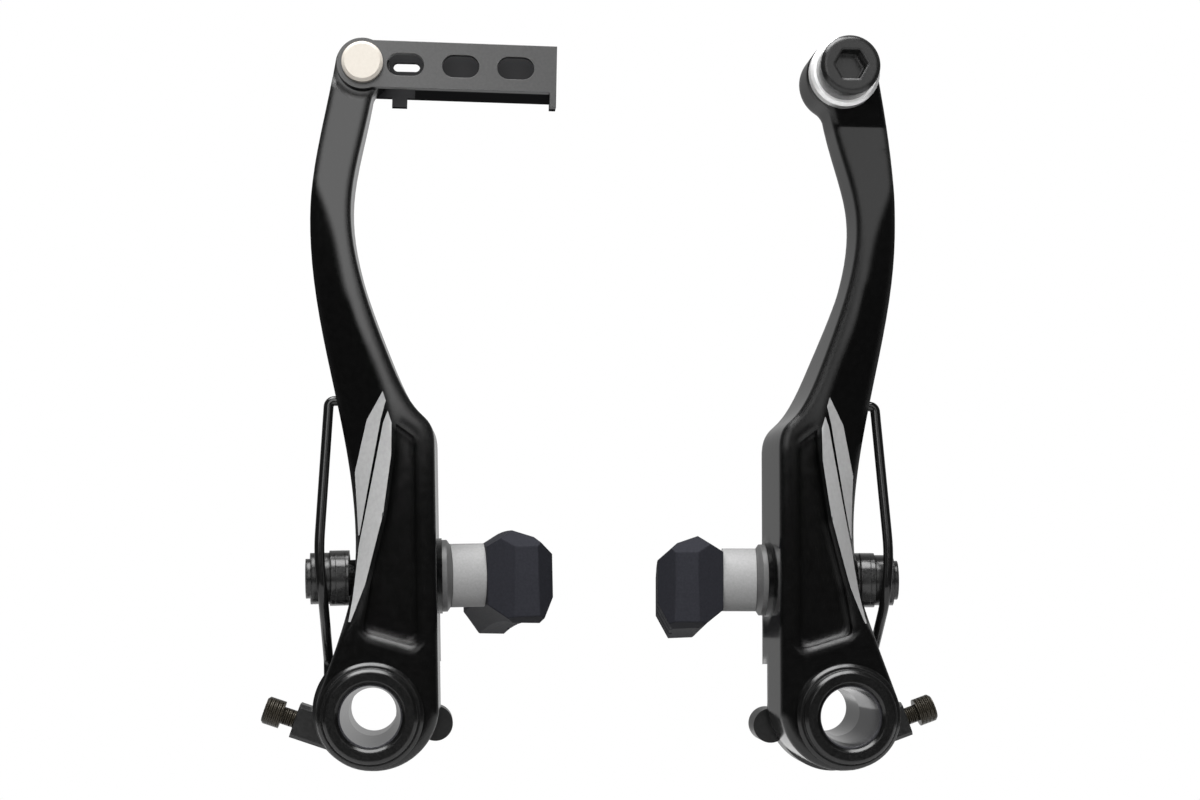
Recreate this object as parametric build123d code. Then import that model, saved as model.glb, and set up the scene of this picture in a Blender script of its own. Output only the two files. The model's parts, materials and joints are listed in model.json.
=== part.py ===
from build123d import *
import os
from math import asin, cos, degrees, radians, sin, sqrt, tan

# A pair of linear-pull bicycle brake arms, seen from the front of the bicycle.
# X runs to the right, Y to the back, Z up. The origin lies midway between the two
# pivot axes, in the plane where the pivot sleeves seat on the frame bosses.
# Each side is modelled once with its pivot axis on Y and +X pointing at the wheel,
# then placed on the left and mirrored to the right. Both halves lean a little to the
# left about their pivots, as they stand in the photo. All sizes are in millimetres.

# Frame boss and pivot sleeve
boss_spacing = 80.0
left_lean = 1.6
right_lean = 0.2
post_radius = 4.0
post_clearance = 0.05
sleeve_length = 24.3
sleeve_radius = 6.2
sleeve_guide_length = 12.0
sleeve_mouth_radius = 5.0
running_clearance = 0.05
cut_margin = 5.0

# Forged arm: pivot boss, lower body, upper stem
arm_length = 110.0
arm_front_y = -22.0
arm_boss_radius = 9.2
arm_flank_x = 11.2
arm_flank_draft = 0.6
neck_draft = 0.9
stem_draft = 0.6
boss_rear_y = -9.0
boss_outer_angle = 160.0
boss_slant = 0.7
waist_x = -2.3
waist_z = 28.0
elbow_x = -9.2
elbow_z = 82.0
stem_width = 6.9
stem_lean = 10.0
stem_inner_lift = 4.0
eye_inner_angle = -68.0
flank_top_z = 45.0
shoulder_setback = 2.4
shoulder_z = 50.3
neck_x = 3.4
neck_z = 60.6
body_rear_y = -3.6
body_rear_top_z = 46.0
stem_rear_y = -12.4
stem_rear_z = 72.0
stem_depth_margin = 20.0
eye_blend = 3.0
front_edge_round = 1.0
rear_edge_round = 1.0
side_profile_blend = 9.0
edge_tolerance = 0.01

# Ridge that parts the outer facet from the front face: height, distance from the
# pivot line, and how far the facet falls back at the outer edge
ridge_stations = [
    (8.0, -6.4, 0.1),
    (15.5, -3.0, 2.8),
    (22.0, -0.4, 5.0),
    (33.0, 2.4, 6.5),
    (45.0, 4.1, 6.5),
    (58.0, 1.4, 5.0),
    (72.0, -3.0, 2.8),
    (86.0, -6.2, 1.0),
    (97.0, -5.8, 0.1),
]
facet_overrun = 4.0
facet_front_lift = 0.02

# Pocket in the lower front face
pocket_depth = 2.6
pocket_bottom_x = -1.2
pocket_bottom_z = 13.7
pocket_ridge_start_z = 18.0
pocket_top_z = 48.5
pocket_top_slant = 2.4
pocket_rim = 3.2
pocket_ridge_gap = 0.7
pocket_ledge_drop = 2.8
pocket_corner = 1.2

# Front dust ring
dust_ring_radius = 8.8
dust_ring_flange = 1.7
dust_ring_collar_radius = 7.8
dust_ring_thickness = 3.6
dust_ring_lip_radius = 5.3
dust_ring_lip = 1.0
dust_ring_bevel = 0.5

# Spring holder behind the arm, with its screw block and stop lug
holder_radius = 10.4
holder_front_gap = 0.4
holder_rear_y = -0.4
holder_bevel = 0.6
screw_axis_offset = 6.0
screw_tilt = 20.0
screw_block_width = 6.0
screw_block_reach = 12.2
stop_lug_radius = 3.0
stop_lug_setback = 2.0
stop_lug_sweep_gap = 0.2
stop_pin_distance = 11.0
stop_pin_angle = -14.0
stop_pin_radius = 1.4
stop_pin_length = 8.5
stop_pin_projection = 4.5

# Tension screw
screw_radius = 1.5
screw_head_radius = 2.4
screw_head_length = 3.2
screw_exposed_thread = 2.4
screw_tip_reach = 8.0
screw_slot_width = 0.8
screw_slot_depth = 1.2
screw_travel = 2.2
screw_clearance = 0.05

# Return spring wire
wire_radius = 0.85
wire_seat_clearance = 0.1
wire_foot_x = -7.7
wire_foot_y = -4.6
wire_foot_z = -1.0
wire_kink_z = 8.6
wire_knee_x = -7.9
wire_knee_drop = 3.4
wire_bow_x = -8.6
wire_bow_z = 27.0
wire_nut_gap = 0.4
wire_top_y = -14.4
wire_top_z = 53.0
wire_flank_gap = 0.3
wire_hook_depth = 2.0
wire_bend_radii = [2.0, 8.0, 40.0, 1.0]

# Brake shoe and its fixing on the arm
stud_y = -9.0
stud_z = 22.8
stud_radius = 2.95
stud_clearance = 0.1
slot_length = 11.6
inner_seat_x = 12.2
inner_seat_radius = 6.5
inner_seat_root = 6.0
outer_seat_x = -3.7
outer_seat_radius = 4.9
outer_seat_root = 4.0
seat_face_margin = 0.3
seat_face_reach = 10.0
ball_gap = 0.04
inner_convex_radius = 6.2
inner_convex_height = 2.9
inner_concave_radius = 5.5
inner_stack_height = 7.2
outer_washer_radius = 4.75
outer_convex_height = 2.0
outer_stack_height = 2.6
flat_washer_radius = 4.75
flat_washer_thickness = 0.8
nut_radius = 4.4
nut_body_length = 3.3
nut_end_radius = 3.4
nut_end_length = 0.8
nut_socket = 5.0
nut_socket_depth = 1.6

# Rubber pad, swept about the wheel axle
wheel_radius = 300.0
pad_width = 16.0
pad_depth = 11.3
pad_toe = 5.5
pad_lift = -0.4
pad_back_depth = 4.4
pad_back_top = 5.3
pad_back_bottom = 4.7
pad_face_top = 3.8
pad_face_bottom = 3.6
pad_top_bevel_depth = 3.4
pad_top_bevel_drop = 1.2
pad_bottom_bevel_depth = 2.4
pad_bottom_back_depth = 4.2
pad_bottom_back_rise = 0.2
pad_plan_margin = 1.0
pad_front = 10.0
pad_rear = 44.0
pad_back_front = 5.0
pad_back_rear = 30.0
pad_nose_length = 4.0
pad_nose_face_bevel = 3.0
pad_nose_top_bevel = 2.9
pad_nose_bottom_bevel = 1.3
pad_groove_width = 1.6
pad_groove_depth = 3.0
pad_groove_count = 3
stud_plate_radius = 4.6
stud_plate_thickness = 1.6
plate_clearance = 0.05

# Top eyes
link_eye_radius = 4.6
clamp_eye_radius = 6.2

# Cable guide link and its rivet on the left arm
link_length = 33.1
link_height = 8.1
link_cheek_radius = 4.4
link_sheet = 1.1
link_gap = 6.9
link_side_clearance = 0.1
link_hole_length = 6.3
link_hole_height = 3.9
link_hole_count = 3
link_hole_first = 7.3
link_hole_pitch = 9.4
link_rear_slot_height = 1.9
link_floor_start = 9.0
link_tab_drop = 2.5
link_tab_width = 3.2
link_foot_start = 5.0
link_foot_length = 2.6
link_foot_drop = 1.6
link_rest_tilt = 2.2
link_cable_slot = 2.4
tongue_swing_gap = 1.0
rivet_radius = 2.4
rivet_head_radius = 3.5
rivet_head_height = 1.6
rivet_head_edge = 0.5
rivet_clearance = 0.05

# Cable clamp on the right arm
clamp_washer_radius = 6.05
clamp_washer_thickness = 2.4
clamp_washer_bevel = 0.5
clamp_bolt_radius = 2.95
clamp_head_radius = 5.1
clamp_head_height = 5.0
clamp_head_bevel = 0.6
clamp_socket = 5.0
clamp_socket_depth = 3.0
clamp_bolt_end_gap = 1.0
clamp_thread_clearance = 0.05

# Derived places
arm_spacing_half = boss_spacing / 2
sleeve_bore_radius = post_radius + post_clearance
holder_front_y = boss_rear_y + holder_front_gap
holder_middle_y = (holder_front_y + holder_rear_y) / 2
nut_start = outer_stack_height + flat_washer_thickness
tongue_middle_y = (arm_front_y + stem_rear_y) / 2
tongue_thickness = link_gap - 2 * link_side_clearance
holder_sweep_radius = stop_pin_distance + stop_lug_radius + stop_lug_sweep_gap
ball_span = inner_seat_x + inner_convex_height - outer_seat_x + outer_convex_height
ball_radius = ball_span / 2
ball_centre_x = inner_seat_x + inner_convex_height - ball_radius
washer_hole_radius = stud_radius + ball_radius * tan(radians(pad_toe)) + stud_clearance
slot_width = 2 * washer_hole_radius
nut_end_x = outer_seat_x - nut_start - nut_body_length - nut_end_length
nut_swing = (ball_centre_x - nut_end_x) * sin(radians(pad_toe))
wire_front_y = stud_y - nut_radius - nut_swing - wire_radius - wire_nut_gap


def front_plane(y):
    """Plane at depth y whose local axes are X and Z, facing the viewer."""
    return Plane.XZ.offset(-y)


def prism(sketch, front, back):
    """Extrude a front-view sketch from depth front to depth back."""
    return extrude(front_plane(back) * sketch, amount=back - front)


def turned(radius, front, back):
    """Cylinder about the pivot axis between two depths."""
    return prism(Circle(radius), front, back)


def on_stud(shape, x, direction):
    """Place a shape modelled along +Z on the shoe stud, facing along X."""
    seat = Plane(origin=(x, stud_y, stud_z), x_dir=(0, 1, 0), z_dir=(direction, 0, 0))
    return seat * shape


def rod(radius, start, end):
    """Cylinder along +Z between two heights."""
    return Pos(0, 0, (start + end) / 2) * Cylinder(radius, end - start)


def ball_sag(radius):
    """Drop of the washers' ball surface at a radius from its axis."""
    return ball_radius - sqrt(ball_radius**2 - radius**2)


# Forged arm


def arm_outline(draft, eye_radius):
    """Front outline of the arm, widened on its wheel side by a share of the draft."""
    flank_x = arm_flank_x + draft * arm_flank_draft
    lean = radians(stem_lean)
    foot_angle = radians(boss_outer_angle)
    foot = (arm_boss_radius * cos(foot_angle), arm_boss_radius * sin(foot_angle))
    foot_direction = (sin(foot_angle), -cos(foot_angle))
    eye_outer = (-eye_radius * cos(lean), arm_length + eye_radius * sin(lean))
    stem_direction = (sin(lean), cos(lean))
    eye_angle = radians(eye_inner_angle)
    eye_inner = (eye_radius * cos(eye_angle), arm_length + eye_radius * sin(eye_angle))
    outer = Spline(
        foot,
        (waist_x, waist_z),
        (elbow_x, elbow_z),
        eye_outer,
        tangents=[foot_direction, (0, 1), (0, 1), stem_direction],
    )
    crown = ThreePointArc(eye_outer, (0, arm_length + eye_radius), eye_inner)
    inner = Spline(
        eye_inner,
        (elbow_x + stem_width + draft * stem_draft, elbow_z + stem_inner_lift),
        (neck_x + draft * neck_draft, neck_z),
        (flank_x - shoulder_setback, shoulder_z),
        (flank_x, flank_top_z),
        tangents=[(-sin(lean), -cos(lean)), (0, -1)],
    )
    flank = Line((flank_x, flank_top_z), (flank_x, 0))
    bottom = (0, -arm_boss_radius)
    inner_boss = ThreePointArc((flank_x, 0), (flank_x * boss_slant, bottom[1] * boss_slant), bottom)
    side = (-arm_boss_radius * boss_slant, bottom[1] * boss_slant)
    outer_boss = ThreePointArc(bottom, side, foot)
    face = make_face([outer, crown, inner, flank, inner_boss, outer_boss])
    corner = face.vertices().sort_by_distance((eye_inner[0], eye_inner[1], 0))[0]
    return fillet(corner, eye_blend)


def arm_side_profile():
    """Side view that gives the arm its depth: deep low down, slim at the top."""
    top = arm_length + stem_depth_margin
    bottom = -arm_boss_radius - stem_depth_margin
    profile = Polyline(
        (arm_front_y, bottom),
        (body_rear_y, bottom),
        (body_rear_y, body_rear_top_z),
        (stem_rear_y, stem_rear_z),
        (stem_rear_y, top),
        (arm_front_y, top),
        close=True,
    )
    face = make_face(profile)
    bends = [(body_rear_y, body_rear_top_z), (stem_rear_y, stem_rear_z)]
    corners = [face.vertices().sort_by_distance((y, z, 0))[0] for y, z in bends]
    face = fillet(corners, side_profile_blend)
    return extrude(Plane.YZ * face, amount=boss_spacing / 2, both=True)


def rear_outline_edges(arm):
    """Edges that bound the back of the arm, without the folds across it."""
    edges = []
    for edge in arm.edges():
        box = edge.bounding_box()
        crosses = box.size.X > box.size.Z and box.size.Z < edge_tolerance
        if box.min.Y > stem_rear_y - edge_tolerance and not crosses:
            edges.append(edge)
    return edges


def arm_blank(eye_radius):
    """Arm with drafted flanks, side profile and rounded edges, before its cuts."""
    front = front_plane(arm_front_y) * arm_outline(0, eye_radius)
    back = front_plane(body_rear_y) * arm_outline(1, eye_radius)
    arm = loft([front, back], ruled=True) & arm_side_profile()
    edges = arm.edges().filter_by_position(
        Axis.Y, arm_front_y - edge_tolerance, arm_front_y + edge_tolerance)
    arm = fillet(edges, front_edge_round)
    return fillet(rear_outline_edges(arm), rear_edge_round)


def outer_edge_x(z):
    """Rough distance of the arm's outer edge from the pivot line at a height."""
    if z < waist_z:
        foot = arm_boss_radius * cos(radians(boss_outer_angle))
        return foot + (waist_x - foot) * z / waist_z
    if z < elbow_z:
        return waist_x + (elbow_x - waist_x) * (z - waist_z) / (elbow_z - waist_z)
    return elbow_x + (-link_eye_radius - elbow_x) * (z - elbow_z) / (arm_length - elbow_z)


def facet_cutter():
    """Wedge that lays the outer facet back from the ridge."""
    sections = []
    for z, ridge_x, fall in ridge_stations:
        edge_x = outer_edge_x(z)
        slope = fall / (ridge_x - edge_x)
        far_x = edge_x - facet_overrun
        far_y = arm_front_y + slope * (ridge_x - far_x)
        front_y = arm_front_y - stem_depth_margin
        start_y = arm_front_y - facet_front_lift
        points = [(ridge_x, start_y), (far_x, far_y), (far_x, front_y), (ridge_x, front_y)]
        sections.append(Plane.XY.offset(z) * make_face(Polyline(*points, close=True)))
    return loft(sections)


def pocket():
    """Recess between the ridge and the wheel-side rim."""
    rim_x = arm_flank_x - pocket_rim
    ridge = [(x + pocket_ridge_gap, z) for z, x, fall in ridge_stations]
    ridge = [(x, z) for x, z in ridge if pocket_ridge_start_z < z < pocket_top_z]
    low_left = (pocket_bottom_x, pocket_bottom_z)
    low_right = (rim_x, pocket_bottom_z - pocket_ledge_drop)
    top_left = (ridge[-1][0], pocket_top_z)
    top_right = (rim_x, pocket_top_z - pocket_top_slant)
    outline = Polyline(low_left, *ridge, top_left, top_right, low_right, close=True)
    face = make_face(outline)
    for x, z in (low_left, low_right, top_right):
        corner = face.vertices().sort_by_distance((x, z, 0))[0]
        face = fillet(corner, pocket_corner)
    return prism(face, arm_front_y - cut_margin, arm_front_y + pocket_depth)


def shoe_slot():
    """Upright slot through the arm for the shoe stud."""
    slot = SlotOverall(slot_length, slot_width, rotation=90)
    plane = Plane(origin=(0, stud_y, stud_z), x_dir=(0, 1, 0), z_dir=(1, 0, 0))
    return extrude(plane * slot, amount=boss_spacing / 4, both=True)


def shoe_seats():
    """Round seats for the washers on both flanks of the arm."""
    inner = on_stud(rod(inner_seat_radius, inner_seat_x - inner_seat_root, inner_seat_x), 0, 1)
    outer = on_stud(rod(outer_seat_radius, -outer_seat_x - outer_seat_root, -outer_seat_x), 0, -1)
    return inner + outer


def seat_faces():
    """Space beyond the two seats, cleared so that the washers lie flat."""
    inner_end = inner_seat_x + seat_face_reach
    outer_end = seat_face_reach - outer_seat_x
    inner = rod(inner_convex_radius + seat_face_margin, inner_seat_x, inner_end)
    outer = rod(flat_washer_radius + seat_face_margin, -outer_seat_x, outer_end)
    return on_stud(inner, 0, 1) + on_stud(outer, 0, -1)


def spring_hole():
    """Blind hole in the outer flank that takes the hooked end of the wire."""
    hole = rod(wire_radius + wire_seat_clearance, 0, wire_hook_depth + cut_margin)
    x = outer_edge_x(wire_top_z) + wire_hook_depth + wire_seat_clearance
    plane = Plane(origin=(x, wire_top_y, wire_top_z), x_dir=(0, 1, 0), z_dir=(-1, 0, 0))
    return plane * hole


def forged_arm(eye_radius):
    """The arm without its top fitting."""
    arm = arm_blank(eye_radius) - facet_cutter() - pocket()
    arm = arm + shoe_seats() - seat_faces()
    arm = arm - turned(holder_sweep_radius, boss_rear_y, body_rear_y + cut_margin)
    bore_front = arm_front_y - cut_margin
    arm = arm - turned(sleeve_radius + running_clearance, bore_front, boss_rear_y + cut_margin)
    return arm - shoe_slot() - spring_hole()


def eye_bore(hole):
    """Hole right through the top of the arm."""
    return prism(hole, arm_front_y - cut_margin, stem_rear_y + cut_margin)


def left_arm():
    """Arm whose top is a tongue for the cable guide link."""
    arm = forged_arm(link_eye_radius)
    eye = Pos(0, arm_length) * Circle(link_eye_radius + tongue_swing_gap)
    tongue_front = tongue_middle_y - tongue_thickness / 2
    tongue_back = tongue_middle_y + tongue_thickness / 2
    arm = arm - prism(eye, arm_front_y - cut_margin, tongue_front)
    arm = arm - prism(eye, tongue_back, stem_rear_y + cut_margin)
    hole = Pos(0, arm_length) * Circle(rivet_radius)
    return arm - eye_bore(hole)


def right_arm():
    """Arm whose top is a tapped eye for the cable clamp bolt."""
    hole = Pos(0, arm_length) * Circle(clamp_bolt_radius + clamp_thread_clearance)
    return forged_arm(clamp_eye_radius) - eye_bore(hole)


# Pivot


def pivot_sleeve():
    """Bush that slides on the frame boss, with a flared front mouth."""
    cone_start = sleeve_guide_length
    profile = Polyline(
        (sleeve_bore_radius, 0),
        (sleeve_radius, 0),
        (sleeve_radius, sleeve_length),
        (sleeve_mouth_radius, sleeve_length),
        (sleeve_bore_radius, cone_start),
        close=True,
    )
    body = revolve(Plane.XZ * make_face(profile), Axis.Z)
    return Rot(X=90) * body


def dust_ring():
    """Stepped front ring on the arm's boss, with a lip over the sleeve's end."""
    inner = sleeve_radius + running_clearance
    thickness = dust_ring_thickness
    profile = Polyline(
        (inner, 0),
        (dust_ring_radius, 0),
        (dust_ring_radius, dust_ring_flange - dust_ring_bevel),
        (dust_ring_radius - dust_ring_bevel, dust_ring_flange),
        (dust_ring_collar_radius, dust_ring_flange),
        (dust_ring_collar_radius, thickness - dust_ring_bevel),
        (dust_ring_collar_radius - dust_ring_bevel, thickness),
        (dust_ring_lip_radius + dust_ring_bevel, thickness),
        (dust_ring_lip_radius, thickness - dust_ring_bevel),
        (dust_ring_lip_radius, thickness - dust_ring_lip),
        (inner, thickness - dust_ring_lip),
        close=True,
    )
    ring = revolve(Plane.XZ * make_face(profile), Axis.Z)
    return Pos(0, arm_front_y, 0) * Rot(X=90) * ring


# Spring holder and spring


def screw_plane():
    """Plane at the middle of the tension screw, facing outward along it."""
    tilt = radians(screw_tilt)
    axis = (-cos(tilt), 0, sin(tilt))
    middle = (-screw_axis_offset * sin(tilt), holder_middle_y, -screw_axis_offset * cos(tilt))
    return Plane(origin=middle, x_dir=(0, 1, 0), z_dir=axis)


def screw_block():
    """Square block on the holder that carries the tension screw."""
    block = Box(screw_block_width, screw_block_width, screw_block_reach)
    block = chamfer(block.edges().filter_by(Axis.Z), holder_bevel)
    return screw_plane() * Pos(0, 0, screw_block_reach / 2) * block


def stop_pin_place():
    """Position of the stop pin beside the pivot."""
    angle = radians(stop_pin_angle)
    return Pos(stop_pin_distance * cos(angle), stop_pin_distance * sin(angle))


def spring_holder():
    """Moulded holder that keeps the spring's foot on the frame boss."""
    holder = turned(holder_radius, holder_front_y, holder_rear_y)
    holder = chamfer(holder.edges().filter_by(GeomType.CIRCLE), holder_bevel)
    lug = stop_pin_place() * Circle(stop_lug_radius)
    holder = holder + prism(lug, holder_front_y + stop_lug_setback, holder_rear_y)
    holder = holder + screw_block()
    holder = holder - turned(sleeve_radius, holder_front_y - cut_margin, cut_margin)
    hole = rod(screw_radius + screw_clearance, -screw_travel, screw_block_reach + cut_margin)
    holder = holder - screw_plane() * hole
    pin_hole = stop_pin_place() * Circle(stop_pin_radius)
    holder = holder - prism(pin_hole, stop_pin_projection - stop_pin_length, cut_margin)
    wire_hole = rod(wire_radius + wire_seat_clearance, wire_foot_z, holder_radius + cut_margin)
    return holder - Pos(wire_foot_x, wire_foot_y, 0) * wire_hole


def stop_pin():
    """Steel pin that enters a hole of the frame boss."""
    pin = stop_pin_place() * Circle(stop_pin_radius)
    return prism(pin, stop_pin_projection - stop_pin_length, stop_pin_projection)


def tension_screw():
    """Cross-slot screw that sets the spring's preload."""
    head_start = screw_block_reach + screw_exposed_thread
    head_end = head_start + screw_head_length
    screw = rod(screw_radius, screw_tip_reach, head_end - screw_slot_depth - screw_slot_width)
    head = rod(screw_head_radius, head_start, head_end)
    head = chamfer(head.edges().sort_by(Axis.Z)[-1], screw_slot_width / 2)
    slot_length = 2 * screw_head_radius - screw_slot_width
    slot_height = head_end - screw_slot_depth / 2
    for turn in (0, 90):
        slot = Box(slot_length, screw_slot_width, screw_slot_depth)
        head = head - Pos(0, 0, slot_height) * Rot(Z=turn) * slot
    return screw_plane() * (screw + head)


def wire_route():
    """Corner points of the spring wire from its foot to its hooked top."""
    top_x = outer_edge_x(wire_top_z) - wire_radius - wire_flank_gap
    return [
        (wire_foot_x, wire_foot_y, wire_foot_z + wire_seat_clearance),
        (wire_foot_x, wire_foot_y, wire_kink_z),
        (wire_knee_x, wire_front_y, stud_z - wire_knee_drop),
        (wire_bow_x, wire_front_y, wire_bow_z),
        (top_x, wire_top_y, wire_top_z),
        (top_x + wire_radius + wire_flank_gap + wire_hook_depth, wire_top_y, wire_top_z),
    ]


def return_spring():
    """Bowed wire that swings the arm away from the wheel."""
    path = FilletPolyline(*wire_route(), radius=wire_bend_radii)
    start = Plane(origin=path @ 0, z_dir=path % 0)
    return sweep(start * Circle(wire_radius), path=path)


# Brake shoe


def convex_washer(radius, height):
    """Washer with a flat back, a ball face and a wide hole in which the stud tilts."""
    ball = Pos(0, 0, height - ball_radius) * Sphere(ball_radius)
    body = rod(radius, 0, height) & ball
    return body - rod(washer_hole_radius, -cut_margin, height + cut_margin)


def concave_washer(radius, ball_height, height):
    """Washer whose cup lies on the ball face, up to height."""
    ball = Pos(0, 0, ball_height - ball_radius) * Sphere(ball_radius + ball_gap)
    body = rod(radius, ball_height - ball_sag(radius), height) - ball
    return body - rod(stud_radius + stud_clearance, -cut_margin, height + cut_margin)


def flat_washer():
    """Plain washer under the nut."""
    washer = rod(flat_washer_radius, outer_stack_height, nut_start)
    return washer - rod(stud_radius + stud_clearance, 0, nut_start + cut_margin)


def shoe_nut():
    """Round nut with a stepped end and a hex socket."""
    body_end = nut_start + nut_body_length
    end = body_end + nut_end_length
    nut = rod(nut_radius, nut_start, body_end) + rod(nut_end_radius, body_end, end)
    socket = extrude(RegularPolygon(nut_socket / 2, 6, major_radius=False), -nut_socket_depth)
    nut = nut - Pos(0, 0, end) * socket
    return nut - rod(stud_radius + running_clearance, 0, end - nut_socket_depth + edge_tolerance)


def shoe_stud():
    """Threaded stud with the round plate that the rubber is moulded on."""
    start_x = outer_seat_x - nut_start - nut_body_length + nut_socket_depth
    plate_x = inner_seat_x + inner_stack_height
    shank = rod(stud_radius, start_x, plate_x + stud_plate_thickness / 2)
    plate = rod(stud_plate_radius, plate_x, plate_x + stud_plate_thickness)
    return on_stud(shank + plate, 0, 1)


def pad_section():
    """Section of the rubber pad across the rim."""
    back_x = inner_seat_x + inner_stack_height
    face_x = back_x + pad_depth
    middle_z = stud_z + pad_lift
    top_z = middle_z + pad_width / 2
    bottom_z = middle_z - pad_width / 2
    points = [
        (back_x, middle_z + pad_back_top),
        (back_x + pad_back_depth, top_z),
        (face_x - pad_top_bevel_depth, top_z - pad_top_bevel_drop),
        (face_x, middle_z + pad_face_top),
        (face_x, middle_z - pad_face_bottom),
        (face_x - pad_bottom_bevel_depth, bottom_z),
        (back_x + pad_bottom_back_depth, bottom_z + pad_bottom_back_rise),
        (back_x, middle_z - pad_back_bottom),
    ]
    return make_face(Polyline(*points, close=True))


def toed(shape):
    """Turn a piece of the shoe about the ball centre, front end to the wheel."""
    centre = Pos(ball_centre_x, stud_y, 0)
    return centre * Rot(Z=pad_toe) * centre.inverse() * shape


def pad_nose():
    """Side view that bevels the top and bottom of the pad's front end."""
    front = stud_y - pad_front
    shoulder = front + pad_nose_length
    rear = stud_y + pad_rear + pad_plan_margin
    top = stud_z + pad_lift + pad_width / 2
    bottom = stud_z + pad_lift - pad_width / 2
    outline = Polyline(
        (front, bottom + pad_nose_bottom_bevel),
        (front, top - pad_nose_top_bevel),
        (shoulder, top),
        (rear, top + pad_width),
        (rear, bottom - pad_width),
        (shoulder, bottom),
        close=True,
    )
    return extrude(Plane.YZ * make_face(outline), amount=boss_spacing)


def pad_swing(length):
    """Angle about the wheel axle that a length along the rim takes."""
    return degrees(2 * asin(length / 2 / wheel_radius))


def brake_pad():
    """Rubber pad that follows the rim, with drainage grooves in its face."""
    axle = Axis((0, stud_y, stud_z - wheel_radius), (1, 0, 0))
    section = front_plane(stud_y) * pad_section()
    pad = revolve(section, axle, -pad_swing(pad_rear))
    pad = pad + revolve(section, axle, pad_swing(pad_front))
    back_x = inner_seat_x + inner_stack_height
    face_x = back_x + pad_depth
    waist = back_x + pad_back_depth
    plan = Polyline(
        (back_x - pad_plan_margin, stud_y - pad_back_front),
        (waist, stud_y - pad_front),
        (face_x - pad_nose_face_bevel, stud_y - pad_front),
        (face_x, stud_y - pad_front + pad_nose_length),
        (face_x, stud_y + pad_rear),
        (waist, stud_y + pad_rear),
        (back_x - pad_plan_margin, stud_y + pad_back_rear),
        close=True,
    )
    pad = pad & extrude(make_face(plan), amount=stud_z + pad_width * 2) & pad_nose()
    pitch = pad_rear / (pad_groove_count + 1)
    for index in range(pad_groove_count):
        y = stud_y + pitch * (index + 1)
        groove = Box(2 * pad_groove_depth, pad_groove_width, 3 * pad_width)
        pad = pad - Pos(face_x, y, stud_z) * groove
    plate = rod(stud_plate_radius + plate_clearance, 0, stud_plate_thickness + plate_clearance)
    return pad - on_stud(plate, back_x, 1)


# Top fittings


def link_sheet_outline():
    """Side view of one cheek of the link, round at the rivet."""
    bar = Pos(link_length / 2, 0) * Rectangle(link_length, link_height)
    return bar + Circle(link_cheek_radius)


def cable_link():
    """Folded cable guide: two cheeks, a floor and an end wall with a tab."""
    front = tongue_middle_y - link_gap / 2
    back = tongue_middle_y + link_gap / 2
    cheek = link_sheet_outline() - Circle(rivet_radius + rivet_clearance)
    first = link_hole_first
    windows = Sketch()
    for index in range(link_hole_count):
        place = Pos(first + index * link_hole_pitch, 0)
        windows = windows + place * SlotOverall(link_hole_length, link_hole_height)
    slot = Pos(first, -link_rear_slot_height / 2)
    rear_slot = slot * SlotOverall(link_hole_length, link_rear_slot_height)
    link = prism(cheek - windows, front - link_sheet, front)
    link = link + prism(cheek - rear_slot, back, back + link_sheet)
    floor_length = link_length - link_floor_start
    floor_z = -link_height / 2 + link_sheet / 2
    depth = link_gap + 2 * link_sheet
    floor = Pos(link_floor_start + floor_length / 2, tongue_middle_y, floor_z)
    link = link + floor * Box(floor_length, depth, link_sheet)
    wall = Pos(link_length - link_sheet / 2, tongue_middle_y, 0)
    link = link + wall * Box(link_sheet, depth, link_height)
    tab_y = front - link_sheet + link_tab_width / 2
    tab = Pos(link_length - link_sheet / 2, tab_y, -link_height / 2 - link_tab_drop / 2)
    link = link + tab * Box(link_sheet, link_tab_width, link_tab_drop)
    foot_x = link_foot_start + link_foot_length / 2
    foot = Pos(foot_x, back + link_sheet / 2, -link_height / 2)
    link = link + foot * Box(link_foot_length, link_sheet, 2 * link_foot_drop)
    cable = Pos(link_length, tongue_middle_y, link_height / 4)
    link = link - cable * Box(4 * link_sheet, link_cable_slot, link_height / 2)
    return Pos(0, 0, arm_length) * Rot(Y=link_rest_tilt) * link


def link_rivet():
    """Rivet on which the link turns."""
    front = tongue_middle_y - link_gap / 2 - link_sheet - rivet_clearance
    back = tongue_middle_y + link_gap / 2 + link_sheet + rivet_clearance
    place = Pos(0, arm_length)
    shank = prism(place * Circle(rivet_radius), front - rivet_head_edge, back + rivet_head_edge)
    head = prism(place * Circle(rivet_head_radius), front - rivet_head_height, front)
    head = chamfer(head.edges().sort_by(Axis.Y)[0], rivet_head_edge)
    tail = prism(place * Circle(rivet_head_radius), back, back + rivet_head_height)
    tail = chamfer(tail.edges().sort_by(Axis.Y)[-1], rivet_head_edge)
    return shank + head + tail


def clamp_washer():
    """Plain washer that presses the cable on the right arm."""
    front = arm_front_y - clamp_washer_thickness
    washer = prism(Circle(clamp_washer_radius), front, arm_front_y)
    washer = chamfer(washer.edges().sort_by(Axis.Y)[0], clamp_washer_bevel)
    hole = Circle(clamp_bolt_radius + clamp_thread_clearance)
    return Pos(0, 0, arm_length) * (washer - prism(hole, front - cut_margin, arm_front_y + cut_margin))


def clamp_bolt():
    """Socket head bolt of the cable clamp."""
    seat = arm_front_y - clamp_washer_thickness
    front = seat - clamp_head_height
    head = prism(Circle(clamp_head_radius), front, seat)
    head = chamfer(head.edges().sort_by(Axis.Y)[0], clamp_head_bevel)
    socket = RegularPolygon(clamp_socket / 2, 6, major_radius=False)
    head = head - prism(socket, front - cut_margin, front + clamp_socket_depth)
    end = stem_rear_y - clamp_bolt_end_gap
    shank = prism(Circle(clamp_bolt_radius), seat - clamp_head_bevel, end)
    return Pos(0, 0, arm_length) * (head + shank)


# Assembly


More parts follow.
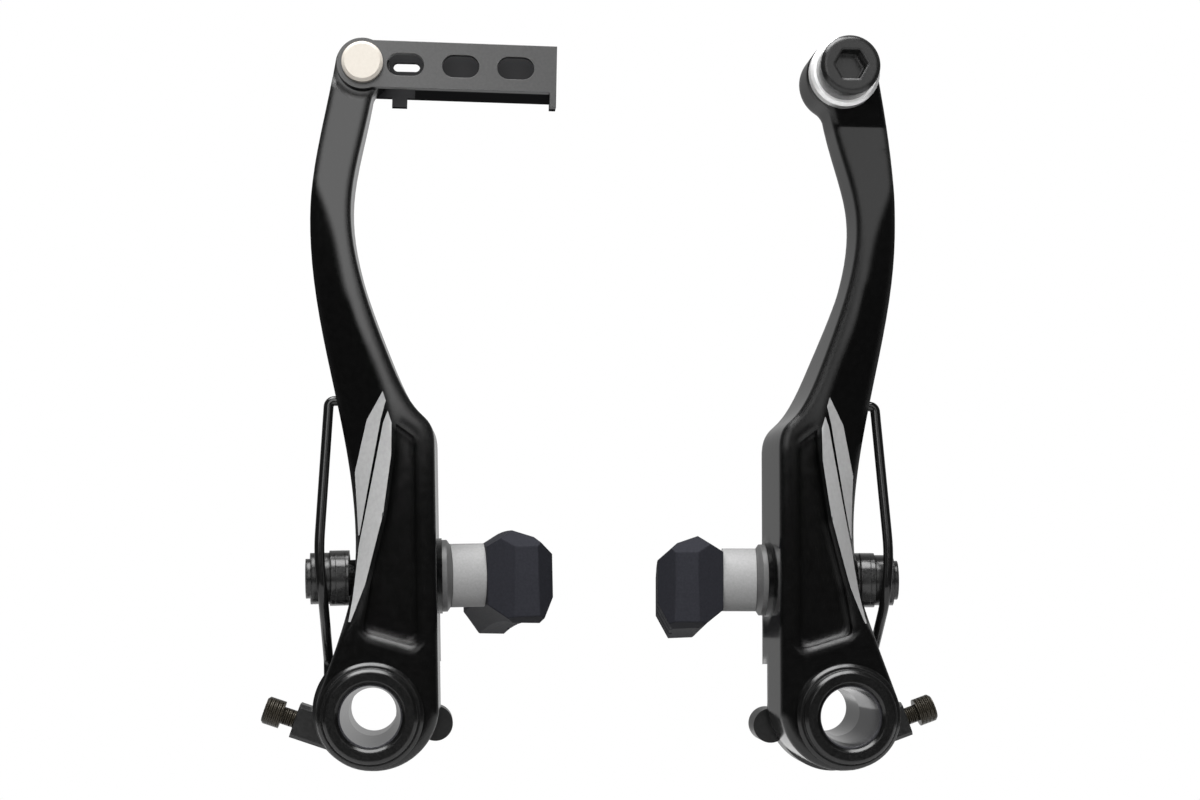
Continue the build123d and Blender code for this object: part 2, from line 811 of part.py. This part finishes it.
def common_pieces():
    """Pieces that both sides share, on the pivot axis, facing +X."""
    return {
        "pivot_sleeve": pivot_sleeve(),
        "dust_ring": dust_ring(),
        "spring_holder": spring_holder(),
        "stop_pin": stop_pin(),
        "tension_screw": tension_screw(),
        "return_spring": return_spring(),
        "inner_convex_washer": on_stud(
            convex_washer(inner_convex_radius, inner_convex_height), inner_seat_x, 1),
        "inner_concave_washer": toed(on_stud(
            concave_washer(inner_concave_radius, inner_convex_height, inner_stack_height),
            inner_seat_x, 1)),
        "outer_convex_washer": on_stud(
            convex_washer(outer_washer_radius, outer_convex_height), outer_seat_x, -1),
        "outer_concave_washer": toed(on_stud(
            concave_washer(outer_washer_radius, outer_convex_height, outer_stack_height),
            outer_seat_x, -1)),
        "flat_washer": toed(on_stud(flat_washer(), outer_seat_x, -1)),
        "shoe_nut": toed(on_stud(shoe_nut(), outer_seat_x, -1)),
        "shoe_stud": toed(shoe_stud()),
        "brake_pad": toed(brake_pad()),
    }


def on_left(shape):
    """Place a side's piece on the left boss."""
    return Pos(-arm_spacing_half, 0, 0) * Rot(Y=-left_lean) * shape


def on_right(shape):
    """Mirror a side's piece and place it on the right boss."""
    return Pos(arm_spacing_half, 0, 0) * Rot(Y=-right_lean) * mirror(shape, about=Plane.YZ)


def all_pieces():
    """Every node of the brake by name."""
    pieces = {}
    for name, shape in common_pieces().items():
        pieces["left_" + name] = on_left(shape)
        pieces["right_" + name] = on_right(shape)
    pieces["left_arm"] = on_left(left_arm())
    pieces["right_arm"] = on_right(right_arm())
    pieces["cable_link"] = on_left(cable_link())
    pieces["link_rivet"] = on_left(link_rivet())
    pieces["clamp_washer"] = on_right(clamp_washer())
    pieces["clamp_bolt"] = on_right(clamp_bolt())
    return pieces


os.makedirs("parts", exist_ok=True)
for node, shape in all_pieces().items():
    export_step(shape, os.path.join("parts", node + ".step"))
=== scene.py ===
import json
import math
import bmesh
import bpy
from mathutils import Matrix, Vector


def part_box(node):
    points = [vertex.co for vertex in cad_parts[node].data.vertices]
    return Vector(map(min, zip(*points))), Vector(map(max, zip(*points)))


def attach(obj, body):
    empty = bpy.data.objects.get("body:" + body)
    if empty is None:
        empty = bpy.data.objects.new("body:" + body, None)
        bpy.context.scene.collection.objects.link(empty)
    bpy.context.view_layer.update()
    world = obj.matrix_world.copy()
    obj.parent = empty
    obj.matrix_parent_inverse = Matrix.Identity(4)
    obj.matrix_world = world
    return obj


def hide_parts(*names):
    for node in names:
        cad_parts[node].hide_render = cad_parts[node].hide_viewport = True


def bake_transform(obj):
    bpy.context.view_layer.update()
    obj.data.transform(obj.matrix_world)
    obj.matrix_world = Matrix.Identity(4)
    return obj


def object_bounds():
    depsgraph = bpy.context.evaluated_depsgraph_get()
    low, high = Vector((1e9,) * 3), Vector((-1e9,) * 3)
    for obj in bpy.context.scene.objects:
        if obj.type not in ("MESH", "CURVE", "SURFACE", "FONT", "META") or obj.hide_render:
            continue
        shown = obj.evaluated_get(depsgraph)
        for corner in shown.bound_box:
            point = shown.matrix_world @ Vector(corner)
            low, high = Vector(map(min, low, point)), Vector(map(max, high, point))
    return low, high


# Looks of a pair of linear-pull brake arms. Lengths are in metres and angles in degrees, unless a name
# or comment says otherwise.
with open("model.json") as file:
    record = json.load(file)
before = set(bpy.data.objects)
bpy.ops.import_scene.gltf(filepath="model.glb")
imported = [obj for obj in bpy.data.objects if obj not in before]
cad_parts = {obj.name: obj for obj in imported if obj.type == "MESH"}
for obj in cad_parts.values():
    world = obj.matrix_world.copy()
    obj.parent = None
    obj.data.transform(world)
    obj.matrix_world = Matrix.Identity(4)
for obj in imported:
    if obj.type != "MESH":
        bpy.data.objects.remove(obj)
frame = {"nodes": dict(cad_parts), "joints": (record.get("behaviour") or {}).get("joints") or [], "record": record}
cad_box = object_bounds()
parts = frame["nodes"]
pivots = {joint["name"]: joint["pos_m"] for joint in frame["joints"] if "pos_m" in joint}
SIDES = ("left", "right")
MM = 0.001
MICRON = 0.000001

# Camera, fitted to the photograph's view
CAMERA_PLACE = (-0.02929, -0.37237, 0.02344)
CAMERA_YAW = 4.419
CAMERA_PITCH = 4.797
CAMERA_ROLL = -0.349
CAMERA_LENS_MM = 62.55
CAMERA_SENSOR_MM = 36.0
CAMERA_NEAREST = 0.01

# Floor, which fades into the white tent between two distances from its middle
FLOOR_DROP = 0.05
FLOOR_HALF = 0.30
FLOOR_COLOUR = 0.5
FLOOR_GLOWS = (0.15, 1.0)
FLOOR_FADE = (0.14, 0.28)
FLOOR_ROUGHNESS = 0.9

# Tent: light levels, and the parts of a direction's Y and X over which they change
TENT_FRONT_LEVEL = 0.03
TENT_BACK_LEVELS = (0.3, 0.55)
TENT_DEPTH_SPAN = (0.0, 0.95)
TENT_BACK_SPAN = (-0.2, 0.2)

# Soft boxes, with power in watts
FRONT_BOX_DISTANCE = 0.50
FRONT_BOX_LEVEL = 0.2925
FRONT_BOX_HEIGHT = 0.415
FRONT_BOXES = {
    "front_left_box": {"across": -0.14, "width": 0.26, "power": 1.03},
    "front_right_box": {"across": 0.1975, "width": 0.205, "power": 0.34},
}
TOP_BOX_PLACE = (-0.08, -0.12, 0.60)
TOP_BOX_SIZE = (0.6, 0.4)
TOP_BOX_POWER = 7.5
FILL_PLACE = (-0.05, -0.70, 0.05)
FILL_SIZE = (0.5, 0.5)
FILL_POWER = 4.5

# Grey stripes on the outer facets: edges from top to bottom, in mm from the pivot. A half is drawn upright,
# with +X towards the wheel, and leans by its own angle.
HALF_LEAN = {"left": 1.6, "right": 0.2}
STRIPES = {
    "_upper_stripe": {
        "outer": [(2.7, 53.9), (-0.1, 49.3), (-2.3, 40.6), (-1.8, 29.8)],
        "inner": [(3.2, 52.3), (2.3, 49.3), (0.5, 40.6), (-1.6, 30.1)],
    },
    "_lower_stripe": {
        "outer": [(3.5, 50.6), (2.7, 48.7), (-1.7, 28.3), (-2.8, 19.3), (-3.5, 15.5)],
        "inner": [(4.1, 48.6), (4.0, 43.2), (2.5, 33.3), (-0.6, 21.7), (-3.1, 15.5)],
    },
}
STRIPE_ROWS = 60
STRIPE_COLUMNS = 8
STRIPE_LIFT = 0.03 * MM
STRIPE_START_Y = -60.0 * MM

# Return springs
WIRE_WELD = 0.01 * MM
WIRE_LONGEST_EDGE = 1.5 * MM
WIRE_CUT_ROUNDS = 4
WIRE_SHARP_ANGLE = 50.0

# Shading of the arms: the outer facet eases into the front, and a fillet leads up to the clamp
FRONT = (0, -1, 0)
EASE_SHIFT = 2.5 * MM
EASE_SLANT = 1.5
EASE_HEIGHTS = (-22.0 * MM, 24.0 * MM)
EASE_FACING = (0.88, 0.96)
CLAMP_FILLET_HEIGHTS = (99.6 * MM, 102.2 * MM)
CLAMP_FILLET_LEAN = (0, 0, -0.3)

# Thread of the tension screws, with their mean tilt, and the wave texture's length at a scale of 1
SCREW_TILT = 19.3
THREAD_PITCH = 0.7 * MM
THREAD_DEPTH = 0.25 * MM
WAVE_LENGTH = 0.314

# Cable link: the slot in its rear cheek as a straight core and a radius, and the depths where painted shade makes
# it dark and dull
LINK_SLOT_PLACE = (-35.7 * MM, -13.0 * MM, 111.35 * MM)
LINK_SLOT_CORE = (1.5 * MM, 0.7 * MM, 0)
LINK_SLOT_RADIUS = 0.8 * MM
LINK_SHADE_DEPTHS = (0.8 * MM, 1.6 * MM)
LINK_SHADE_COLOUR = (0.03, 0.03, 0.031, 1)

# Grain of the finishes, and the samples of their soft edges
GRAIN_SPAN = (0.3, 0.7)
GRAIN_DETAIL = 3
EDGE_SAMPLES = 6
WHITE = (1, 1, 1, 1)

# Vector calculations that give a number, and the places of a mix node's two inputs and its output
NUMBER_RESULTS = ("DOT_PRODUCT", "LENGTH")
MIX_SOCKETS = {"VECTOR": (4, 5, 1), "RGBA": (6, 7, 2)}


# Node helpers


def feed(tree, socket, value):
    """Link an output to a socket, or set a plain value on it."""
    if isinstance(value, bpy.types.NodeSocket):
        tree.links.new(value, socket)
    else:
        socket.default_value = value


def calculate(tree, kind, operation, values):
    """Outputs of a node that works out a result from outputs and plain values."""
    node = tree.nodes.new(kind)
    node.operation = operation
    for socket, value in zip(node.inputs, values):
        feed(tree, socket, value)
    return node.outputs


def number_math(tree, operation, *values):
    """Result of a calculation with numbers."""
    return calculate(tree, "ShaderNodeMath", operation, values)["Value"]


def vector_math(tree, operation, *values):
    """Result of a calculation with vectors."""
    result = "Value" if operation in NUMBER_RESULTS else "Vector"
    return calculate(tree, "ShaderNodeVectorMath", operation, values)[result]


def place_in(tree, kind="Object"):
    """Place of the shaded point in its object's own frame, or in another kind of coordinates."""
    return tree.nodes.new("ShaderNodeTexCoord").outputs[kind]


def axes_of(tree, vector):
    """X, Y and Z of a vector."""
    node = tree.nodes.new("ShaderNodeSeparateXYZ")
    tree.links.new(vector, node.inputs["Vector"])
    return node.outputs


def spread(tree, value, low, high, span=GRAIN_SPAN, smooth=False):
    """Value over a span, turned into one from low to high."""
    node = tree.nodes.new("ShaderNodeMapRange")
    if smooth:
        node.interpolation_type = "SMOOTHSTEP"
    settings = {"Value": value, "From Min": span[0], "From Max": span[1], "To Min": low, "To Max": high}
    for name, setting in settings.items():
        feed(tree, node.inputs[name], setting)
    return node.outputs["Result"]


def rise(tree, value, span):
    """0 below a span, 1 above it, smooth between."""
    return spread(tree, value, 0.0, 1.0, span, smooth=True)


def mixed(tree, kind, share, first, second):
    """First value where the share is 0, second value where it is 1."""
    node = tree.nodes.new("ShaderNodeMix")
    node.data_type = kind
    first_socket, second_socket, result = MIX_SOCKETS[kind]
    feed(tree, node.inputs["Factor"], share)
    feed(tree, node.inputs[first_socket], first)
    feed(tree, node.inputs[second_socket], second)
    return node.outputs[result]


def shader_of(material):
    """Shader of a principled material."""
    return material.node_tree.nodes["Principled BSDF"]


def new_material(name):
    """Plain principled material, with its node tree and shader."""
    material = bpy.data.materials.new(name)
    material.use_nodes = True
    return material, material.node_tree, shader_of(material)


# Stage


def link_object(name, data):
    """New object in the scene, with its data."""
    thing = bpy.data.objects.new(name, data)
    bpy.context.scene.collection.objects.link(thing)
    return thing


def make_camera():
    """Camera at the photograph's viewing angle."""
    yaw = math.radians(CAMERA_YAW)
    pitch = math.radians(CAMERA_PITCH)
    forward = Vector((math.sin(yaw) * math.cos(pitch), math.cos(yaw) * math.cos(pitch), math.sin(pitch)))
    right = Vector((math.cos(yaw), -math.sin(yaw), 0))
    up = right.cross(forward)
    turn = Matrix((right, up, -forward)).transposed()
    roll = Matrix.Rotation(math.radians(CAMERA_ROLL), 3, forward)
    data = bpy.data.cameras.new("camera")
    data.lens = CAMERA_LENS_MM
    data.sensor_width = CAMERA_SENSOR_MM
    data.clip_start = CAMERA_NEAREST
    camera = link_object("camera", data)
    camera.matrix_world = Matrix.Translation(CAMERA_PLACE) @ (roll @ turn).to_4x4()
    bpy.context.scene.camera = camera


def floor_paper():
    """Pale paper that takes shadows near its middle and fades into the white tent further out."""
    material, tree, shader = new_material("floor_paper")
    far = rise(tree, vector_math(tree, "LENGTH", place_in(tree)), FLOOR_FADE)
    tree.links.new(spread(tree, far, FLOOR_COLOUR, 0.0, (0, 1)), shader.inputs["Base Color"])
    tree.links.new(spread(tree, far, *FLOOR_GLOWS, (0, 1)), shader.inputs["Emission Strength"])
    shader.inputs["Emission Color"].default_value = WHITE
    shader.inputs["Roughness"].default_value = FLOOR_ROUGHNESS
    shader.inputs["Specular IOR Level"].default_value = 0.0
    return material


def make_floor():
    """Pale floor below the part, which sends no diffuse light back to it."""
    half = FLOOR_HALF
    corners = [(-half, -half, 0), (half, -half, 0), (half, half, 0), (-half, half, 0)]
    mesh = bpy.data.meshes.new("floor")
    mesh.from_pydata(corners, [], [(0, 1, 2, 3)])
    mesh.materials.append(floor_paper())
    floor = link_object("floor", mesh)
    floor.location.z = cad_box[0].z - FLOOR_DROP
    floor.visible_diffuse = False


def make_tent():
    """World that is dark on the camera's side, pale behind, palest at the right, and white to the camera."""
    world = bpy.data.worlds.new("tent")
    bpy.context.scene.world = world
    world.use_nodes = True
    tree = world.node_tree
    axes = axes_of(tree, place_in(tree, "Generated"))
    back = spread(tree, axes["X"], *TENT_BACK_LEVELS, TENT_BACK_SPAN)
    level = spread(tree, axes["Y"], TENT_FRONT_LEVEL, back, TENT_DEPTH_SPAN, smooth=True)
    to_camera = tree.nodes.new("ShaderNodeLightPath").outputs["Is Camera Ray"]
    background = tree.nodes["Background"]
    background.inputs["Color"].default_value = WHITE
    tree.links.new(number_math(tree, "MAXIMUM", level, to_camera), background.inputs["Strength"])


def soft_box(name, place, target, size, power):
    """Rectangular light that faces a point and that the camera doesn't see."""
    data = bpy.data.lights.new(name, "AREA")
    data.shape = "RECTANGLE"
    data.size, data.size_y = size
    data.energy = power
    lamp = link_object(name, data)
    lamp.location = place
    lamp.rotation_mode = "QUATERNION"
    lamp.rotation_quaternion = (Vector(target) - Vector(place)).to_track_quat("-Z", "Y")
    lamp.visible_camera = False
    return lamp


def make_lights():
    """Soft boxes above the camera for the grey sheen, one overhead, and a fill without a sheen."""
    for name, box in FRONT_BOXES.items():
        place = (box["across"], -FRONT_BOX_DISTANCE, FRONT_BOX_LEVEL)
        ahead = (box["across"], 0, FRONT_BOX_LEVEL)
        soft_box(name, place, ahead, (box["width"], FRONT_BOX_HEIGHT), box["power"])
    middle = (cad_box[0] + cad_box[1]) / 2
    soft_box("top_box", TOP_BOX_PLACE, middle, TOP_BOX_SIZE, TOP_BOX_POWER)
    fill = soft_box("fill", FILL_PLACE, middle, FILL_SIZE, FILL_POWER)
    fill.visible_glossy = False


# Finishes


def grain(tree, scale):
    """Noise in the object's own frame, with scale in features per metre."""
    node = tree.nodes.new("ShaderNodeTexNoise")
    node.inputs["Scale"].default_value = scale
    node.inputs["Detail"].default_value = GRAIN_DETAIL
    tree.links.new(place_in(tree), node.inputs["Vector"])
    return node.outputs["Fac"]


def grained_colour(tree, value, colours):
    """Colour that follows a grain from a low to a high colour."""
    node = tree.nodes.new("ShaderNodeValToRGB")
    for stop, position, colour in zip(node.color_ramp.elements, GRAIN_SPAN, colours):
        stop.position = position
        stop.color = (*colour, 1)
    tree.links.new(value, node.inputs["Fac"])
    return node.outputs["Color"]


def soft_edges(tree, radius):
    """Normal that rounds the edges by a radius."""
    node = tree.nodes.new("ShaderNodeBevel")
    node.samples = EDGE_SAMPLES
    node.inputs["Radius"].default_value = radius
    return node.outputs["Normal"]


def finish(name, colours, roughness, metallic=0.0, scale=1500, relief=2 * MICRON, edge=0.15 * MM, shine=0.5):
    """Material whose colour, roughness and relief vary with a fine grain, and whose edges look soft."""
    material, tree, shader = new_material(name)
    value = grain(tree, scale)
    tree.links.new(grained_colour(tree, value, colours), shader.inputs["Base Color"])
    tree.links.new(spread(tree, value, *roughness), shader.inputs["Roughness"])
    shader.inputs["Metallic"].default_value = metallic
    shader.inputs["Specular IOR Level"].default_value = shine
    bump = tree.nodes.new("ShaderNodeBump")
    bump.inputs["Distance"].default_value = relief
    tree.links.new(value, bump.inputs["Height"])
    tree.links.new(soft_edges(tree, edge), bump.inputs["Normal"])
    tree.links.new(bump.outputs["Normal"], shader.inputs["Normal"])
    return material


def grey(level):
    """Neutral colour."""
    return (level, level, level)


def eased_front(tree, normal):
    """Normal that turns to the front on the upper stem, so that the outer facet runs out softly."""
    axes = axes_of(tree, place_in(tree))
    outward = number_math(tree, "ABSOLUTE", number_math(tree, "ADD", axes["X"], EASE_SHIFT))
    height = number_math(tree, "MULTIPLY_ADD", outward, -EASE_SLANT, axes["Z"])
    facing = vector_math(tree, "DOT_PRODUCT", normal, FRONT)
    share = number_math(tree, "MULTIPLY", rise(tree, height, EASE_HEIGHTS), rise(tree, facing, EASE_FACING))
    return mixed(tree, "VECTOR", share, normal, FRONT)


def clamp_fillet(tree, normal):
    """Normal that leans down below the clamp on the right arm."""
    axes = axes_of(tree, place_in(tree))
    on_right = number_math(tree, "GREATER_THAN", axes["X"], 0.0)
    share = number_math(tree, "MULTIPLY", rise(tree, axes["Z"], CLAMP_FILLET_HEIGHTS), on_right)
    lean = vector_math(tree, "MULTIPLY", CLAMP_FILLET_LEAN, share)
    return vector_math(tree, "NORMALIZE", vector_math(tree, "ADD", normal, lean))


def threaded(material):
    """Thread grooves across the tension screws, whose axes fall towards the middle on both sides."""
    tree = material.node_tree
    axes = axes_of(tree, place_in(tree))
    fold = tree.nodes.new("ShaderNodeCombineXYZ")
    tree.links.new(number_math(tree, "ABSOLUTE", axes["X"]), fold.inputs["X"])
    tree.links.new(axes["Z"], fold.inputs["Z"])
    turn = tree.nodes.new("ShaderNodeMapping")
    turn.inputs["Rotation"].default_value = (0, math.radians(SCREW_TILT), 0)
    tree.links.new(fold.outputs["Vector"], turn.inputs["Vector"])
    wave = tree.nodes.new("ShaderNodeTexWave")
    wave.inputs["Scale"].default_value = WAVE_LENGTH / THREAD_PITCH
    tree.links.new(turn.outputs["Vector"], wave.inputs["Vector"])
    bump = tree.nodes["Bump"]
    bump.inputs["Distance"].default_value = THREAD_DEPTH
    tree.links.new(wave.outputs["Fac"], bump.inputs["Height"])
    return material


def slotted(material):
    """Open slot in the link's rear cheek, behind its first window."""
    tree = material.node_tree
    offset = vector_math(tree, "SUBTRACT", place_in(tree), LINK_SLOT_PLACE)
    beyond = vector_math(tree, "SUBTRACT", vector_math(tree, "ABSOLUTE", offset), LINK_SLOT_CORE)
    distance = vector_math(tree, "LENGTH", vector_math(tree, "MAXIMUM", beyond, (0, 0, 0)))
    solid = number_math(tree, "GREATER_THAN", distance, LINK_SLOT_RADIUS)
    tree.links.new(solid, shader_of(material).inputs["Alpha"])
    return material


def shaded_inside(material):
    """Painted shade: the link is darker and duller behind its front sheet, where little light reaches."""
    tree = material.node_tree
    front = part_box("cable_link")[0].y
    depths = [front + depth for depth in LINK_SHADE_DEPTHS]
    inside = rise(tree, axes_of(tree, place_in(tree))["Y"], depths)
    colour = shader_of(material).inputs["Base Color"]
    shine = shader_of(material).inputs["Specular IOR Level"]
    # Painted shade: colour darkened and sheen taken away behind the front sheet
    tree.links.new(mixed(tree, "RGBA", inside, colour.links[0].from_socket, LINK_SHADE_COLOUR), colour)
    tree.links.new(spread(tree, inside, shine.default_value, 0.0, (0, 1)), shine)
    return material


# Materials


def painted_arm():
    """Gloss black paint over the forged arms."""
    colours = (grey(0.002), grey(0.003))
    roughness = (0.10, 0.13)
    material = finish("gloss_black_paint", colours, roughness, scale=900, relief=MICRON, edge=2.2 * MM)
    tree = material.node_tree
    normal = tree.nodes["Bump"].inputs["Normal"]
    tree.links.new(clamp_fillet(tree, eased_front(tree, normal.links[0].from_socket)), normal)
    return material


def satin_sleeve():
    """Satin plated steel of the pivot sleeves and the shoe studs."""
    colours = ((0.041, 0.041, 0.046), (0.052, 0.052, 0.058))
    return finish("satin_sleeve", colours, (0.12, 0.16), metallic=0.25, scale=1800, shine=0.9)


def satin_black_ring():
    """Satin black dust rings."""
    return finish("satin_black_ring", (grey(0.003), grey(0.005)), (0.19, 0.24), scale=2200, edge=0.3 * MM)


def black_moulding():
    """Black plastic of the spring holders."""
    return finish("black_moulding", (grey(0.006), grey(0.010)), (0.28, 0.34), scale=2200)


def bright_steel():
    """Bright plated steel of the clamp washer and the stop pins."""
    return finish("bright_steel", (grey(0.86), grey(0.94)), (0.34, 0.42), metallic=0.5, scale=1800)


def bronzed_screw():
    """Dark bronzed tension screws with their thread."""
    colours = ((0.032, 0.028, 0.021), (0.048, 0.041, 0.030))
    return threaded(finish("bronzed_screw", colours, (0.25, 0.32), metallic=0.6, scale=2500))


def black_wire():
    """Gloss black wire of the return springs."""
    return finish("black_wire", (grey(0.004), grey(0.006)), (0.14, 0.18))


def dark_washer():
    """Dark grey ball washers."""
    return finish("dark_washer", (grey(0.075), grey(0.095)), (0.36, 0.44), scale=2500, relief=3 * MICRON)


def light_washer():
    """Matt light grey cup washers."""
    return finish("light_washer", (grey(0.22), grey(0.26)), (0.55, 0.65), scale=2500, relief=4 * MICRON)


def outer_washer():
    """Black washers under the shoe nuts."""
    return finish("outer_washer", (grey(0.012), grey(0.018)), (0.16, 0.22), scale=2000, edge=0.2 * MM)


def black_bolt():
    """Satin black clamp bolt and shoe nuts."""
    return finish("black_bolt", (grey(0.008), grey(0.012)), (0.20, 0.26), scale=2000, edge=0.7 * MM)


def pad_rubber():
    """Matt bluish rubber of the brake pads."""
    colours = ((0.020, 0.0205, 0.025), (0.025, 0.0255, 0.031))
    return finish(
        "pad_rubber", colours, (0.5, 0.6), scale=2600, relief=10 * MICRON, edge=0.4 * MM, shine=0.02)


def grey_sheet():
    """Dark grey sheet of the cable link, with painted shade behind its front sheet."""
    return shaded_inside(slotted(finish("grey_sheet", (grey(0.036), grey(0.046)), (0.30, 0.36), scale=2200)))


def cream_rivet():
    """Pale rivet of the cable link."""
    colours = ((0.48, 0.445, 0.395), (0.51, 0.475, 0.425))
    return finish("cream_rivet", colours, (0.5, 0.6), scale=1800)


def stripe_grey():
    """Light grey paint of the stripes."""
    return finish("stripe_grey", (grey(0.33), grey(0.38)), (0.45, 0.55))


# The material of each slot of the record, and the nodes that get the outer washers' one instead
SLOT_MATERIALS = {
    "arm_gloss_black": painted_arm,
    "sleeve_steel": satin_sleeve,
    "ring_black": satin_black_ring,
    "holder_plastic": black_moulding,
    "bright_steel": bright_steel,
    "screw_black": bronzed_screw,
    "spring_wire": black_wire,
    "washer_dark": dark_washer,
    "washer_light": light_washer,
    "bolt_black": black_bolt,
    "pad_rubber": pad_rubber,
    "link_grey": grey_sheet,
    "rivet_cream": cream_rivet,
}
OUTER_WASHERS = ("outer_convex_washer", "outer_concave_washer", "flat_washer")


def dress_nodes(materials):
    """Give every node the material of its slot, and the outer washers a darker one."""
    outer = outer_washer()
    for row in frame["record"]["subparts"]:
        is_outer = row["node"].endswith(OUTER_WASHERS)
        mesh = parts[row["node"]].data
        mesh.materials.clear()
        mesh.materials.append(outer if is_outer else materials[row["material_slot"]])


# Grey stripes


def in_frame(side, x, z):
    """X and Z in the shared frame of a point of a half's own drawing, which is in mm."""
    lean = math.radians(HALF_LEAN[side])
    across = x * MM if side == "left" else -x * MM
    up = z * MM
    pivot_x = pivots[side + "_arm_pivot"][0]
    return (
        pivot_x + across * math.cos(lean) - up * math.sin(lean),
        across * math.sin(lean) + up * math.cos(lean),
    )


def along(points, share):
    """Point at a share of a polyline's height."""
    z = points[0][1] + (points[-1][1] - points[0][1]) * share
    for (x0, z0), (x1, z1) in zip(points, points[1:]):
        if z1 <= z <= z0:
            return x0 + (x1 - x0) * (z0 - z) / (z0 - z1), z
    return points[-1]


def on_surface(node, x, z):
    """Point on the front of a node, straight behind x and z, lifted a hair."""
    place, normal = parts[node].ray_cast((x, STRIPE_START_Y, z), (0, 1, 0))[1:3]
    return place + normal * STRIPE_LIFT


def stripe_points(side, edges):
    """Rows of points on an arm, each from a stripe's outer edge to its inner edge."""
    points = []
    for row in range(STRIPE_ROWS + 1):
        x0, z0 = along(edges["outer"], row / STRIPE_ROWS)
        x1, z1 = along(edges["inner"], row / STRIPE_ROWS)
        for column in range(STRIPE_COLUMNS + 1):
            share = column / STRIPE_COLUMNS
            x, z = in_frame(side, x0 + (x1 - x0) * share, z0 + (z1 - z0) * share)
            points.append(on_surface(side + "_arm", x, z))
    return points


def stripe_faces():
    """Four-sided faces between the rows of points."""
    width = STRIPE_COLUMNS + 1
    faces = []
    for row in range(STRIPE_ROWS):
        for column in range(STRIPE_COLUMNS):
            first = row * width + column
            faces.append((first, first + 1, first + width + 1, first + width))
    return faces


def make_stripes():
    """Thin painted stripes that lie on the arms and ride with them."""
    material = stripe_grey()
    bpy.context.view_layer.update()
    for side in SIDES:
        for name, edges in STRIPES.items():
            mesh = bpy.data.meshes.new(side + name)
            mesh.from_pydata(stripe_points(side, edges), [], stripe_faces())
            mesh.shade_smooth()
            mesh.materials.append(material)
            stripe = link_object(side + name, mesh)
            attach(stripe, side + "_lever")


# Return springs


def bendable_wire(node, material):
    """Copy of a spring wire with rings close enough together to bend."""
    shape = bmesh.new()
    shape.from_mesh(parts[node].data)
    bmesh.ops.remove_doubles(shape, verts=shape.verts, dist=WIRE_WELD)
    for _ in range(WIRE_CUT_ROUNDS):
        long_edges = [edge for edge in shape.edges if edge.calc_length() > WIRE_LONGEST_EDGE]
        bmesh.ops.subdivide_edges(shape, edges=long_edges, cuts=1)
    mesh = bpy.data.meshes.new(node + "_wire")
    shape.to_mesh(mesh)
    shape.free()
    mesh.shade_smooth()
    mesh.set_sharp_from_angle(angle=math.radians(WIRE_SHARP_ANGLE))
    mesh.materials.clear()
    mesh.materials.append(material)
    return link_object(node + "_wire", mesh)


def make_springs(material):
    """Dense, welded copies of the spring wires, shown in place of the wires from model.glb."""
    for side in SIDES:
        node = side + "_return_spring"
        wire = bendable_wire(node, material)
        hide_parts(node)
        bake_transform(wire)


bpy.context.scene.view_settings.view_transform = "Standard"
make_camera()
make_floor()
make_tent()
make_lights()
slot_materials = {slot: make() for slot, make in SLOT_MATERIALS.items()}
dress_nodes(slot_materials)
make_stripes()
make_springs(slot_materials["spring_wire"])
